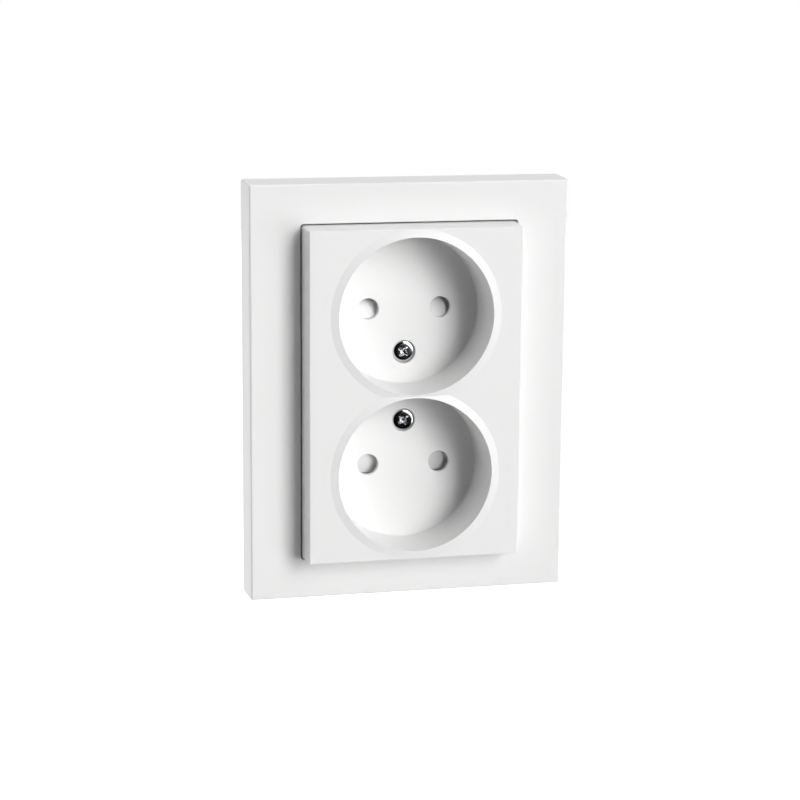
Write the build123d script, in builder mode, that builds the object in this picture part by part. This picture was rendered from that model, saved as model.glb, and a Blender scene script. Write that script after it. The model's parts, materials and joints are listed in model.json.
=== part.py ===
"""Flush double wall socket for two-pin plugs: cover, shutters, support frame and contact insert.

The wall is the plane Y = 0, with the room on the -Y side, +X to the right and +Z up. Heights are
measured from the wall toward the room, so a height below zero lies inside the wall box.
"""
from build123d import *
from math import atan, degrees, radians, tan
import os

os.makedirs("parts", exist_ok=True)

# Cover frame
FRAME_WIDTH = 82.7
FRAME_HEIGHT = 107.3
FRAME_DEPTH = 9.8
FRAME_DRAFT = 0.47
FRAME_WALL = 1.9
FRAME_FRONT = 2.0
FRAME_CORNER = 0.7
FRAME_EDGE = 0.5
FRAME_MOUTH_EDGE = 0.25
COLLAR_WALL = 1.5
LEDGE_OPENING_WIDTH = 51.5
LEDGE_OPENING_HEIGHT = 84.2
RIB = 1.2
ROW_RIBS = (-30, -10, 10, 30)
COLUMN_RIBS = (-20, 0, 20)
NOTCH = 11.0
NOTCH_DEPTH = 2.8

# Centre plate
PLATE_WIDTH = 55.1
PLATE_HEIGHT = 85.5
PLATE_PROUD = 7.6
PLATE_DRAFT = 0.48
PLATE_GAP = 0.33
PLATE_WALL = 1.6
PLATE_FRONT = 2.2
PLATE_CORNER = 0.8
PLATE_EDGE = 0.3
SKIRT_FOOT = 3.0

# Plug cups
OUTLET_PITCH = 41.06
PIN_PITCH = 19.0
MOUTH_RADIUS = 20.12
FLOOR_RADIUS = 19.67
CUP_OUTER_RADIUS = 21.2
RIM_RADIUS = 22.2
RIM_HEIGHT = 0.4
CUP_DEPTH = 13.8
FLOOR_THICKNESS = 1.4
FLOOR_CHAMFER = 0.3
PIN_HOLE_RADIUS = 2.75
PIN_HOLE_CHAMFER = 0.15

# Cover screws, M3
SCREW_OFFSET = 11.5
SCREW_RADIUS = 1.45
SCREW_TIP = 0.6
SCREW_HEAD_RADIUS = 2.78
SCREW_HEAD_HEIGHT = 1.8
CROWN_RADIUS = 1.7
CROWN_DROP = 0.08
SHOULDER_RADIUS = 2.4
SHOULDER_DROP = 0.4
HEAD_EDGE_DROP = 0.95
SCREW_BELOW_FLOOR = 0.3
SCREW_LENGTH = 11.5
SCREW_CLEARANCE = 0.25
COUNTERBORE_RADIUS = 3.0
BOSS_RADIUS = 4.0
BOSS_BOTTOM = -0.2
CROSS_SPAN = 3.0
CROSS_SLOT = 0.62
CROSS_CORE = 1.35
CROSS_DEPTH = 1.1
CROSS_TAPER = 16
CROSS_TURNS = (38, 52)

# Shutters
PAD_WIDTH = 7.2
PAD_INNER = -4.6
PAD_OUTER = 3.3
RAMP_START = -2.4
RAMP_BREAK = 2.8
RAMP_ANGLE = 18
NOSE_ANGLE = 62
BAR_INNER = 1.7
BAR_HALF_WIDTH = 6.0
SHUTTER_TOP = 2.05
SHUTTER_BOTTOM = -4.9
SPIGOT_RADIUS = 0.9
SPIGOT_LENGTH = 0.8

# Shutter springs
SPRING_SEAT = -7.2
SPRING_HEIGHT = -2.0
SPRING_MEAN_RADIUS = 1.4
SPRING_WIRE = 0.4
SPRING_TURNS = 6
SEAT_WIDTH = 6.0
SEAT_THICKNESS = 1.0

# Shutter retainers
TRAY_BASE = 1.2
TRAY_WALL = 0.8
TRAY_HALF_WIDTH = 14.2
TRAY_INNER_END = -11.4
TRAY_OUTER_END = 4.8
TRAY_RADIUS = 27.3
TRAY_CLEARANCE = 0.2
TRAY_HOLE_RADIUS = 3.2
SPRING_BAY_WIDTH = 9.2
SPRING_BAY_END = -7.0
EAR_REACH = 17.1
EAR_WIDTH = 4.4
EAR_BOTTOM = -0.1
STAKE_X = 15.6
STAKE_OFFSET = 4.0
STAKE_RADIUS = 1.0
STAKE_HEAD_RADIUS = 1.35
STAKE_HEAD = 0.7

# Support frame
SUPPORT_WIDTH = 71.0
SUPPORT_HEIGHT = 99.0
SUPPORT_CORNER = 3.0
SHEET = 1.0
SUPPORT_OPENING_HALF = 17.6
SUPPORT_OPENING_RADIUS = 28.2
BEAD_X = 23.6
BEAD_Z = 32.0
BEAD_LENGTH = 20.0
BEAD_WIDTH = 3.4
BEAD_RISE = 0.5
BEAD_TAPER = 25
BEAD_SHELL = 0.7
BOX_SCREW_PITCH = 60.0
SLOT_LENGTH = 7.0
SLOT_RADIUS = 1.8
WALL_HOLE_X = 20.0
WALL_HOLE_Z = 47.2
WALL_HOLE_RADIUS = 1.9

# Contact insert
HOUSING_RADIUS = 29.0
HOUSING_HALF_WIDTH = 26.0
CHAMBER_HALF_WIDTH = 24.7
CHAMBER_LEDGE = 0.6
HOUSING_DEPTH = 24.0
HOUSING_BACK = 1.8
HOUSING_CHAMFER = 1.0
COVER_SEAT_RADIUS = 27.6
HOUSING_INNER_RADIUS = 26.8
DIVIDER = 1.4
INSERT_COVER_FRONT = -6.6
INSERT_COVER_BACK = -8.2
INSERT_COVER_GAP = 0.15
PIN_GUIDE_RADIUS = 3.1
TOWER_RADIUS = 3.0
TOWER_TOP = -0.4
TOWER_BOTTOM = -13.0
TOWER_GAP = 0.4
THREADED_INSERT_RADIUS = 2.1
THREADED_INSERT_LENGTH = 9.0
RIVET_X = 21.9
RIVET_Z = 11.0
RIVET_RADIUS = 1.25
RIVET_HEAD_RADIUS = 2.1
RIVET_HEAD = 0.5
RIVET_POST_RADIUS = 2.4
RIVET_RECESS = 0.8
RIVET_BORE_RADIUS = 0.7
RIVET_BORE_DEPTH = 4.0
FIT = 0.05

# Contacts and terminals
STRIP = 0.7
LEAF_GAP = 3.8
LEAF_HALF_WIDTH = 2.6
LEAF_PINCH_HEIGHT = -11.6
LEAF_BEND_HEIGHT = -13.0
LEAF_TIP = -9.8
LEAF_PINCH = 0.25
LEAF_FLARE = 0.35
SPINE_TOP = -19.0
PILLAR_WIDTH = 4.6
PILLAR_SPAN = 4.2
MIDDLE_PILLAR_SPAN = 6.0
TERMINAL_PLATE_X = 13.6
TERMINAL_HALF_WIDTH = 7.2
TERMINAL_PLATE_TOP = -10.0
WIRE_X = 15.9
WIRE_Z = 4.5
WIRE_HOLE_RADIUS = 1.6
WIRE_HOLE_CHAMFER = 0.5
CLAMP_STRIP = 0.4
CLAMP_WIDTH = 4.4
CLAMP_ANCHOR_X = 23.2
CLAMP_CREST_X = 21.2
CLAMP_TIP_X = 14.6
CLAMP_ANCHOR_HEIGHT = -11.6
CLAMP_TIP_HEIGHT = -13.2
CLAMP_CREST_HEIGHT = -20.9
CLAMP_BEND = 0.85

# Release buttons
BUTTON_X = 19.0
BUTTON_WIDTH = 2.4
BUTTON_SPAN = 13.2
BUTTON_FRONT = -20.2
BUTTON_PROUD = 1.6
BUTTON_EDGE = 0.3
STEM = 4.0
STEM_CLEARANCE = 0.2

FACE = FRAME_DEPTH + PLATE_PROUD
RIM_TOP = FACE + RIM_HEIGHT
FLOOR = FACE - CUP_DEPTH
FLOOR_BACK = FLOOR - FLOOR_THICKNESS
OUTLET_Z = OUTLET_PITCH / 2
PIN_X = PIN_PITCH / 2
SCREW_Z = OUTLET_Z - SCREW_OFFSET
HEAD_TOP = FLOOR - SCREW_BELOW_FLOOR
HEAD_SEAT = HEAD_TOP - SCREW_HEAD_HEIGHT
SKIRT_WIDTH = PLATE_WIDTH + 2 * PLATE_DRAFT
SKIRT_HEIGHT = PLATE_HEIGHT + 2 * PLATE_DRAFT
OPENING_WIDTH = SKIRT_WIDTH + 2 * PLATE_GAP
OPENING_HEIGHT = SKIRT_HEIGHT + 2 * PLATE_GAP
CHAMBER_FLOOR = -HOUSING_DEPTH + HOUSING_BACK


def at(height):
    """Plane parallel to the wall; extruding on it goes toward the room."""
    return Plane.XZ.offset(height)


def outlets():
    """Centres of the upper and the lower outlet."""
    return GridLocations(1, OUTLET_PITCH, 1, 2)


def pin_holes():
    """The four pin positions."""
    return GridLocations(PIN_PITCH, OUTLET_PITCH, 2, 2)


def screw_points():
    """The two cover screws, between the outlets."""
    return GridLocations(1, 2 * SCREW_Z, 1, 2)


def rivet_points():
    """The four rivets of the contact insert."""
    return GridLocations(2 * RIVET_X, 2 * RIVET_Z, 2, 2)


def stake_points():
    """The four plastic stakes that hold the shutter retainers."""
    return GridLocations(2 * STAKE_X, 2 * (OUTLET_Z - STAKE_OFFSET), 2, 2)


def rims(part, radius, height):
    """The round edges of one radius at one height."""
    circles = part.edges().filter_by(GeomType.CIRCLE)
    return circles.filter_by(lambda e: abs(e.radius - radius) < 0.01
                             and abs(e.center().Y + height) < 0.01)


def save(piece, label):
    """Name a finished piece and write it."""
    piece.part.label = label
    export_step(piece.part, f"parts/{label}.step")


# Cover frame: hollow moulding with a collar that carries the pressing ledge
frame_taper = degrees(atan(FRAME_DRAFT / FRAME_DEPTH))
foot_width = FRAME_WIDTH + 2 * FRAME_DRAFT
foot_height = FRAME_HEIGHT + 2 * FRAME_DRAFT
hollow_width = foot_width - 2 * FRAME_WALL
hollow_height = foot_height - 2 * FRAME_WALL
hollow_depth = FRAME_DEPTH - FRAME_FRONT

with BuildPart() as cover_frame:
    with BuildSketch(at(0)):
        RectangleRounded(foot_width, foot_height, FRAME_CORNER)
    extrude(amount=FRAME_DEPTH, taper=frame_taper)
    fillet(cover_frame.faces().sort_by(Axis.Y)[0].edges(), FRAME_EDGE)
    with BuildSketch(at(0)):
        Rectangle(hollow_width, hollow_height)
    extrude(amount=hollow_depth, taper=frame_taper, mode=Mode.SUBTRACT)
    with BuildSketch(at(SHEET)):
        Rectangle(OPENING_WIDTH + 2 * COLLAR_WALL, OPENING_HEIGHT + 2 * COLLAR_WALL)
        for rib_z in ROW_RIBS:
            with Locations((0, rib_z)):
                Rectangle(hollow_width, RIB)
        for rib_x in COLUMN_RIBS:
            with Locations((rib_x, 0)):
                Rectangle(RIB, hollow_height)
    extrude(amount=FRAME_DEPTH - FRAME_FRONT / 2 - SHEET)
    with BuildSketch(at(SHEET)):
        Rectangle(LEDGE_OPENING_WIDTH, LEDGE_OPENING_HEIGHT)
    extrude(amount=FRAME_DEPTH, mode=Mode.SUBTRACT)
    with BuildSketch(at(SKIRT_FOOT)):
        RectangleRounded(OPENING_WIDTH, OPENING_HEIGHT, PLATE_CORNER)
    extrude(amount=FRAME_DEPTH, mode=Mode.SUBTRACT)
    with BuildSketch(at(SHEET)):
        with GridLocations(BOX_SCREW_PITCH, 1, 2, 1):
            Rectangle(NOTCH, NOTCH)
    extrude(amount=NOTCH_DEPTH, mode=Mode.SUBTRACT)
    front_wires = cover_frame.faces().sort_by(Axis.Y)[0].inner_wires()
    fillet(front_wires[0].edges(), FRAME_MOUTH_EDGE)
save(cover_frame, "cover_frame")


# Centre plate: drafted face, skirt, two cups with raised rims, bosses and stakes behind the floors
plate_taper = degrees(atan(PLATE_DRAFT / PLATE_PROUD))
shell_width = SKIRT_WIDTH - 2 * PLATE_WALL
shell_height = SKIRT_HEIGHT - 2 * PLATE_WALL
under_face = FACE - PLATE_FRONT / 2

with BuildPart() as centre_plate:
    with BuildSketch(at(FRAME_DEPTH)):
        RectangleRounded(SKIRT_WIDTH, SKIRT_HEIGHT, PLATE_CORNER)
    extrude(amount=PLATE_PROUD, taper=plate_taper)
    fillet(centre_plate.faces().sort_by(Axis.Y)[0].edges(), PLATE_EDGE)
    with BuildSketch(at(SKIRT_FOOT)):
        RectangleRounded(SKIRT_WIDTH, SKIRT_HEIGHT, PLATE_CORNER)
    extrude(amount=FRAME_DEPTH - SKIRT_FOOT)
    with BuildSketch(at(SKIRT_FOOT)):
        Rectangle(shell_width, shell_height)
    extrude(amount=FRAME_DEPTH - SKIRT_FOOT, mode=Mode.SUBTRACT)
    with BuildSketch(at(FRAME_DEPTH)):
        Rectangle(shell_width, shell_height)
    extrude(amount=PLATE_PROUD - PLATE_FRONT, taper=plate_taper, mode=Mode.SUBTRACT)
    with BuildSketch(at(FLOOR_BACK)):
        with outlets():
            Circle(CUP_OUTER_RADIUS)
    extrude(amount=under_face - FLOOR_BACK)
    with BuildSketch(at(SKIRT_FOOT + 1)):
        Rectangle(SKIRT_WIDTH - PLATE_WALL, RIB)
        with outlets():
            Rectangle(SKIRT_WIDTH - PLATE_WALL, RIB)
    extrude(amount=under_face - SKIRT_FOOT - 1)
    for outlet_z in (OUTLET_Z, -OUTLET_Z):
        with BuildSketch(Plane.XY.offset(outlet_z)):
            with BuildLine():
                Polyline((FLOOR_RADIUS, -under_face), (RIM_RADIUS, -under_face),
                         (RIM_RADIUS, -FACE), (MOUTH_RADIUS, -RIM_TOP),
                         (FLOOR_RADIUS, -RIM_TOP), close=True)
            make_face()
        revolve(axis=Axis((0, 0, outlet_z), (0, 1, 0)))
    for outlet_z in (OUTLET_Z, -OUTLET_Z):
        with BuildSketch(Plane.XY.offset(outlet_z)):
            with BuildLine():
                Polyline((0, -FLOOR), (FLOOR_RADIUS, -FLOOR), (MOUTH_RADIUS, -RIM_TOP),
                         (MOUTH_RADIUS, -RIM_TOP - 1), (0, -RIM_TOP - 1), close=True)
            make_face()
        revolve(axis=Axis((0, 0, outlet_z), (0, 1, 0)), mode=Mode.SUBTRACT)
    chamfer(rims(centre_plate, FLOOR_RADIUS, FLOOR), FLOOR_CHAMFER)
    with BuildSketch(at(BOSS_BOTTOM)):
        with screw_points():
            Circle(BOSS_RADIUS)
    extrude(amount=FLOOR - FLOOR_THICKNESS / 2 - BOSS_BOTTOM)
    with BuildSketch(at(SHUTTER_BOTTOM + TRAY_CLEARANCE)):
        with GridLocations(1, 2 * (OUTLET_Z + SPRING_SEAT) - SEAT_THICKNESS, 1, 2):
            Rectangle(SEAT_WIDTH, SEAT_THICKNESS)
    extrude(amount=FLOOR_BACK - SHUTTER_BOTTOM)
    with BuildSketch(at(EAR_BOTTOM)):
        with stake_points():
            Circle(STAKE_RADIUS)
    extrude(amount=FLOOR_BACK - EAR_BOTTOM + FLOOR_THICKNESS / 2)
    with BuildSketch(at(EAR_BOTTOM)):
        with stake_points():
            Circle(STAKE_HEAD_RADIUS)
    extrude(amount=-STAKE_HEAD)
    with BuildSketch(at(FLOOR)):
        with pin_holes():
            Circle(PIN_HOLE_RADIUS)
    extrude(amount=-FLOOR_THICKNESS, mode=Mode.SUBTRACT)
    with BuildSketch(at(HEAD_SEAT)):
        with screw_points():
            Circle(COUNTERBORE_RADIUS)
    extrude(amount=FLOOR - HEAD_SEAT, mode=Mode.SUBTRACT)
    with BuildSketch(at(BOSS_BOTTOM)):
        with screw_points():
            Circle(SCREW_RADIUS + SCREW_CLEARANCE)
    extrude(amount=HEAD_SEAT - BOSS_BOTTOM, mode=Mode.SUBTRACT)
    chamfer(rims(centre_plate, PIN_HOLE_RADIUS, FLOOR), PIN_HOLE_CHAMFER)
    chamfer(rims(centre_plate, COUNTERBORE_RADIUS, FLOOR), PIN_HOLE_CHAMFER)
save(centre_plate, "centre_plate")


# Cover screws: raised heads with a cross recess, sunk just below the cup floors
tip = SCREW_LENGTH - HEAD_SEAT

with BuildPart() as cover_screws:
    for screw_z, turn in zip((SCREW_Z, -SCREW_Z), CROSS_TURNS):
        with BuildSketch(Plane.XY.offset(screw_z)):
            with BuildLine():
                Polyline((0, tip), (0, -HEAD_TOP), (CROWN_RADIUS, CROWN_DROP - HEAD_TOP),
                         (SHOULDER_RADIUS, SHOULDER_DROP - HEAD_TOP),
                         (SCREW_HEAD_RADIUS, HEAD_EDGE_DROP - HEAD_TOP), (SCREW_HEAD_RADIUS, -HEAD_SEAT),
                         (SCREW_RADIUS, -HEAD_SEAT), (SCREW_RADIUS, tip - SCREW_TIP),
                         (SCREW_RADIUS - SCREW_TIP, tip), close=True)
            make_face()
        revolve(axis=Axis((0, 0, screw_z), (0, 1, 0)))
        with BuildSketch(at(HEAD_TOP)):
            with Locations((0, screw_z)):
                Rectangle(CROSS_SPAN, CROSS_SLOT, rotation=turn)
                Rectangle(CROSS_SLOT, CROSS_SPAN, rotation=turn)
                Rectangle(CROSS_CORE, CROSS_CORE, rotation=turn)
        extrude(amount=-CROSS_DEPTH, taper=CROSS_TAPER, mode=Mode.SUBTRACT)
save(cover_screws, "cover_screws")


# Shutters: two ramps joined by a bar; the lower one is the upper one turned half round
ramp_break_height = SHUTTER_TOP - tan(radians(RAMP_ANGLE)) * (RAMP_BREAK - RAMP_START)
ramp_end_height = ramp_break_height - tan(radians(NOSE_ANGLE)) * (PAD_OUTER - RAMP_BREAK)

for side, label in ((1, "upper_shutter"), (-1, "lower_shutter")):
    hole_z = side * OUTLET_Z
    with BuildPart() as shutter:
        for pin_x in (-PIN_X, PIN_X):
            with BuildSketch(Plane.YZ.offset(pin_x)):
                with BuildLine():
                    Polyline((-SHUTTER_TOP, hole_z + side * PAD_INNER),
                             (-SHUTTER_TOP, hole_z + side * RAMP_START),
                             (-ramp_break_height, hole_z + side * RAMP_BREAK),
                             (-ramp_end_height, hole_z + side * PAD_OUTER),
                             (-SHUTTER_BOTTOM, hole_z + side * PAD_OUTER),
                             (-SHUTTER_BOTTOM, hole_z + side * PAD_INNER), close=True)
                make_face()
            extrude(amount=PAD_WIDTH / 2, both=True)
        with BuildSketch(at(SHUTTER_BOTTOM)):
            with Locations((0, hole_z + side * (BAR_INNER + PAD_OUTER) / 2)):
                Rectangle(2 * BAR_HALF_WIDTH, PAD_OUTER - BAR_INNER)
        extrude(amount=SHUTTER_TOP - SHUTTER_BOTTOM - TRAY_CLEARANCE)
        with BuildSketch(Plane.XY.offset(hole_z + side * (BAR_INNER - SPIGOT_LENGTH))):
            with Locations((0, -SPRING_HEIGHT)):
                Circle(SPIGOT_RADIUS)
        extrude(amount=side * (SPIGOT_LENGTH + 0.5))
        with BuildSketch(at(SHUTTER_BOTTOM)):
            Circle(TRAY_RADIUS - TRAY_CLEARANCE)
        extrude(amount=SHUTTER_TOP - SHUTTER_BOTTOM, mode=Mode.INTERSECT)
    save(shutter, label)


# Shutter springs: compression coils between the seat tab and the shutter's bar
spring_rest = BAR_INNER - SPRING_SEAT
coil_rise = spring_rest - SPRING_WIRE

for side, label in ((1, "upper_shutter_spring"), (-1, "lower_shutter_spring")):
    low_end = OUTLET_Z + SPRING_SEAT if side > 0 else -OUTLET_Z - BAR_INNER
    start = Vector(0, -SPRING_HEIGHT, low_end + SPRING_WIRE / 2)
    with BuildPart() as spring:
        with BuildLine(Plane(start)) as coil:
            Helix(coil_rise / SPRING_TURNS, coil_rise, SPRING_MEAN_RADIUS)
        with BuildSketch(Plane(coil.line @ 0, z_dir=coil.line % 0)):
            RegularPolygon(SPRING_WIRE / 2, 8)
        sweep(path=coil.line, is_frenet=True)
    save(spring, label)


# Shutter retainers: trays staked behind the cup floors
tray_floor = SHUTTER_BOTTOM - TRAY_CLEARANCE
tray_bottom = tray_floor - TRAY_BASE
tray_height = FLOOR_BACK - tray_bottom
bay_inner = TRAY_INNER_END + TRAY_WALL
bay_outer = PAD_OUTER + TRAY_CLEARANCE
bay_half = PIN_X + PAD_WIDTH / 2 + TRAY_CLEARANCE
ear_root = TRAY_HALF_WIDTH - TRAY_WALL / 2

for side, label in ((1, "upper_shutter_retainer"), (-1, "lower_shutter_retainer")):
    hole_z = side * OUTLET_Z
    stake_z = hole_z - side * STAKE_OFFSET
    with BuildPart() as retainer:
        with BuildSketch(at(tray_bottom)):
            with Locations((0, hole_z + side * (TRAY_INNER_END + TRAY_OUTER_END) / 2)):
                Rectangle(2 * TRAY_HALF_WIDTH, TRAY_OUTER_END - TRAY_INNER_END)
        extrude(amount=tray_height)
        with BuildSketch(at(tray_floor)):
            with Locations((0, hole_z + side * (bay_inner + bay_outer) / 2)):
                Rectangle(2 * bay_half, bay_outer - bay_inner)
        extrude(amount=tray_height, mode=Mode.SUBTRACT)
        with BuildSketch(at(tray_bottom)):
            with Locations((0, hole_z + side * (TRAY_INNER_END + SPRING_BAY_END) / 2)):
                Rectangle(SPRING_BAY_WIDTH, SPRING_BAY_END - TRAY_INNER_END)
        extrude(amount=tray_height, mode=Mode.SUBTRACT)
        with BuildSketch(at(tray_bottom)):
            with Locations((PIN_X, hole_z), (-PIN_X, hole_z)):
                Circle(TRAY_HOLE_RADIUS)
        extrude(amount=TRAY_BASE, mode=Mode.SUBTRACT)
        with BuildSketch(at(EAR_BOTTOM)):
            with GridLocations(ear_root + EAR_REACH, 1, 2, 1):
                with Locations((0, stake_z)):
                    Rectangle(EAR_REACH - ear_root, EAR_WIDTH)
            with Locations((STAKE_X, stake_z), (-STAKE_X, stake_z)):
                Circle(STAKE_RADIUS + FIT, mode=Mode.SUBTRACT)
        extrude(amount=FLOOR_BACK - EAR_BOTTOM)
        with BuildSketch(at(tray_bottom)):
            Circle(TRAY_RADIUS)
        extrude(amount=tray_height, mode=Mode.INTERSECT)
    save(retainer, label)


# Support frame: pressed steel sheet with beads, box-screw slots and wall-screw holes
bead_wall = 2 * BEAD_SHELL

with BuildPart() as support_frame:
    with BuildSketch(at(0)):
        RectangleRounded(SUPPORT_WIDTH, SUPPORT_HEIGHT, SUPPORT_CORNER)
    extrude(amount=SHEET)
    with BuildSketch(at(SHEET)):
        with GridLocations(2 * BEAD_X, 2 * BEAD_Z, 2, 2):
            SlotOverall(BEAD_LENGTH, BEAD_WIDTH, rotation=90)
    extrude(amount=BEAD_RISE, taper=BEAD_TAPER)
    with BuildSketch(at(0)):
        with GridLocations(2 * BEAD_X, 2 * BEAD_Z, 2, 2):
            SlotOverall(BEAD_LENGTH - bead_wall, BEAD_WIDTH - bead_wall, rotation=90)
    extrude(amount=BEAD_RISE, mode=Mode.SUBTRACT)
    with BuildSketch(at(0)):
        Circle(SUPPORT_OPENING_RADIUS)
        Rectangle(2 * SUPPORT_OPENING_HALF, 4 * SUPPORT_OPENING_RADIUS, mode=Mode.INTERSECT)
    extrude(amount=SHEET, mode=Mode.SUBTRACT)
    with BuildSketch(at(0)):
        with GridLocations(BOX_SCREW_PITCH, 1, 2, 1):
            SlotOverall(SLOT_LENGTH, 2 * SLOT_RADIUS)
        with GridLocations(2 * WALL_HOLE_X, 2 * WALL_HOLE_Z, 2, 2):
            Circle(WALL_HOLE_RADIUS)
        with rivet_points():
            Circle(RIVET_RADIUS + FIT)
    extrude(amount=SHEET, mode=Mode.SUBTRACT)
save(support_frame, "support_frame")


# Insert cover: the insulating disc over the contacts, with screw towers and rivet posts
with BuildPart() as insert_cover:
    with BuildSketch(at(INSERT_COVER_BACK)):
        Circle(COVER_SEAT_RADIUS - INSERT_COVER_GAP)
        Rectangle(2 * (CHAMBER_HALF_WIDTH - INSERT_COVER_GAP), 2 * COVER_SEAT_RADIUS,
                  mode=Mode.INTERSECT)
    extrude(amount=INSERT_COVER_FRONT - INSERT_COVER_BACK)
    with BuildSketch(at(TOWER_BOTTOM)):
        with screw_points():
            Circle(TOWER_RADIUS)
    extrude(amount=TOWER_TOP - TOWER_BOTTOM)
    with BuildSketch(at(INSERT_COVER_BACK)):
        with rivet_points():
            Circle(RIVET_POST_RADIUS)
    extrude(amount=-INSERT_COVER_BACK)
    with BuildSketch(at(INSERT_COVER_BACK)):
        with pin_holes():
            Circle(PIN_GUIDE_RADIUS)
        with rivet_points():
            Circle(RIVET_RADIUS + FIT)
    extrude(amount=-INSERT_COVER_BACK, mode=Mode.SUBTRACT)
    with BuildSketch(at(TOWER_TOP)):
        with screw_points():
            Circle(THREADED_INSERT_RADIUS)
    extrude(amount=-THREADED_INSERT_LENGTH, mode=Mode.SUBTRACT)
    with BuildSketch(at(TOWER_BOTTOM + 1)):
        with screw_points():
            Circle(SCREW_RADIUS + SCREW_CLEARANCE)
    extrude(amount=TOWER_TOP - THREADED_INSERT_LENGTH - TOWER_BOTTOM - 1, mode=Mode.SUBTRACT)
save(insert_cover, "insert_cover")


# Insert housing: round moulding inside the wall box
with BuildPart() as insert_housing:
    with BuildSketch(at(-HOUSING_DEPTH)):
        Circle(HOUSING_RADIUS)
        Rectangle(2 * HOUSING_HALF_WIDTH, 2 * HOUSING_RADIUS, mode=Mode.INTERSECT)
    extrude(amount=HOUSING_DEPTH)
    chamfer(insert_housing.faces().sort_by(Axis.Y)[-1].edges(), HOUSING_CHAMFER)
    with BuildSketch(at(INSERT_COVER_BACK)):
        Circle(COVER_SEAT_RADIUS)
        Rectangle(2 * CHAMBER_HALF_WIDTH, 2 * HOUSING_RADIUS, mode=Mode.INTERSECT)
    extrude(amount=-INSERT_COVER_BACK, mode=Mode.SUBTRACT)
    with BuildSketch(at(CHAMBER_FLOOR)):
        Circle(HOUSING_INNER_RADIUS)
        Rectangle(2 * (CHAMBER_HALF_WIDTH - CHAMBER_LEDGE), 2 * HOUSING_RADIUS,
                  mode=Mode.INTERSECT)
    extrude(amount=INSERT_COVER_BACK - CHAMBER_FLOOR, mode=Mode.SUBTRACT)
    with BuildSketch(at(CHAMBER_FLOOR)):
        with rivet_points():
            Circle(RIVET_POST_RADIUS)
        Rectangle(DIVIDER, 2 * HOUSING_INNER_RADIUS)
    extrude(amount=INSERT_COVER_BACK - CHAMBER_FLOOR)
    with BuildSketch(at(TOWER_BOTTOM - TOWER_GAP)):
        with screw_points():
            Circle(TOWER_RADIUS + TOWER_GAP)
    extrude(amount=INSERT_COVER_BACK - TOWER_BOTTOM + TOWER_GAP, mode=Mode.SUBTRACT)
    with BuildSketch(at(CHAMBER_FLOOR)):
        with pin_holes():
            Rectangle(PILLAR_WIDTH, PILLAR_SPAN)
        with GridLocations(PIN_PITCH, 1, 2, 1):
            Rectangle(PILLAR_WIDTH, MIDDLE_PILLAR_SPAN)
    extrude(amount=SPINE_TOP - STRIP - CHAMBER_FLOOR)
    with BuildSketch(at(-HOUSING_DEPTH)):
        with GridLocations(2 * WIRE_X, 2 * WIRE_Z, 2, 2):
            Circle(WIRE_HOLE_RADIUS)
        with GridLocations(2 * BUTTON_X, 1, 2, 1):
            Rectangle(BUTTON_WIDTH + STEM_CLEARANCE, STEM + STEM_CLEARANCE)
        with rivet_points():
            Circle(RIVET_RADIUS + FIT)
    extrude(amount=HOUSING_DEPTH + INSERT_COVER_BACK, mode=Mode.SUBTRACT)
    with BuildSketch(at(-HOUSING_DEPTH)):
        with rivet_points():
            Circle(RIVET_POST_RADIUS)
    extrude(amount=RIVET_RECESS, mode=Mode.SUBTRACT)
    chamfer(rims(insert_housing, WIRE_HOLE_RADIUS, -HOUSING_DEPTH), WIRE_HOLE_CHAMFER)
save(insert_housing, "insert_housing")


# Busbars: one stamping per pole, with a fork for each outlet and a terminal plate
for pole, label in ((-1, "live_busbar"), (1, "neutral_busbar")):
    fork_x = pole * PIN_X
    plate_x = pole * (TERMINAL_PLATE_X + STRIP / 2)
    spine_y = -SPINE_TOP + STRIP / 2
    with BuildPart() as busbar:
        for outlet_z in (OUTLET_Z, -OUTLET_Z):
            with BuildSketch(Plane.XY.offset(outlet_z)):
                for leaf in (-1, 1):
                    root_x = fork_x + leaf * (LEAF_GAP + STRIP) / 2
                    with BuildLine():
                        FilletPolyline((fork_x, spine_y), (root_x, spine_y),
                                       (root_x, -LEAF_BEND_HEIGHT),
                                       (root_x - leaf * LEAF_PINCH, -LEAF_PINCH_HEIGHT),
                                       (root_x + leaf * LEAF_FLARE, -LEAF_TIP), radius=0.5)
                    trace(line_width=STRIP)
            extrude(amount=LEAF_HALF_WIDTH, both=True)
        with BuildSketch(at(SPINE_TOP - STRIP)):
            with Locations((fork_x, 0)):
                Rectangle(LEAF_GAP + STRIP, OUTLET_PITCH + 2 * LEAF_HALF_WIDTH)
        extrude(amount=STRIP)
        with BuildSketch(Plane.XY):
            with BuildLine():
                FilletPolyline((fork_x, spine_y), (plate_x, spine_y),
                               (plate_x, -TERMINAL_PLATE_TOP), radius=STRIP)
            trace(line_width=STRIP)
        extrude(amount=TERMINAL_HALF_WIDTH, both=True)
    save(busbar, label)


# Threaded inserts for the cover screws
with BuildPart() as threaded_inserts:
    with BuildSketch(at(TOWER_TOP)):
        with screw_points():
            Circle(THREADED_INSERT_RADIUS)
            Circle(SCREW_RADIUS + FIT, mode=Mode.SUBTRACT)
    extrude(amount=-THREADED_INSERT_LENGTH)
save(threaded_inserts, "threaded_inserts")


# Release buttons: a crossbar over both clamp springs of a pole, and a stem through the back
crossbar_back = CHAMBER_FLOOR + 0.1

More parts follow.
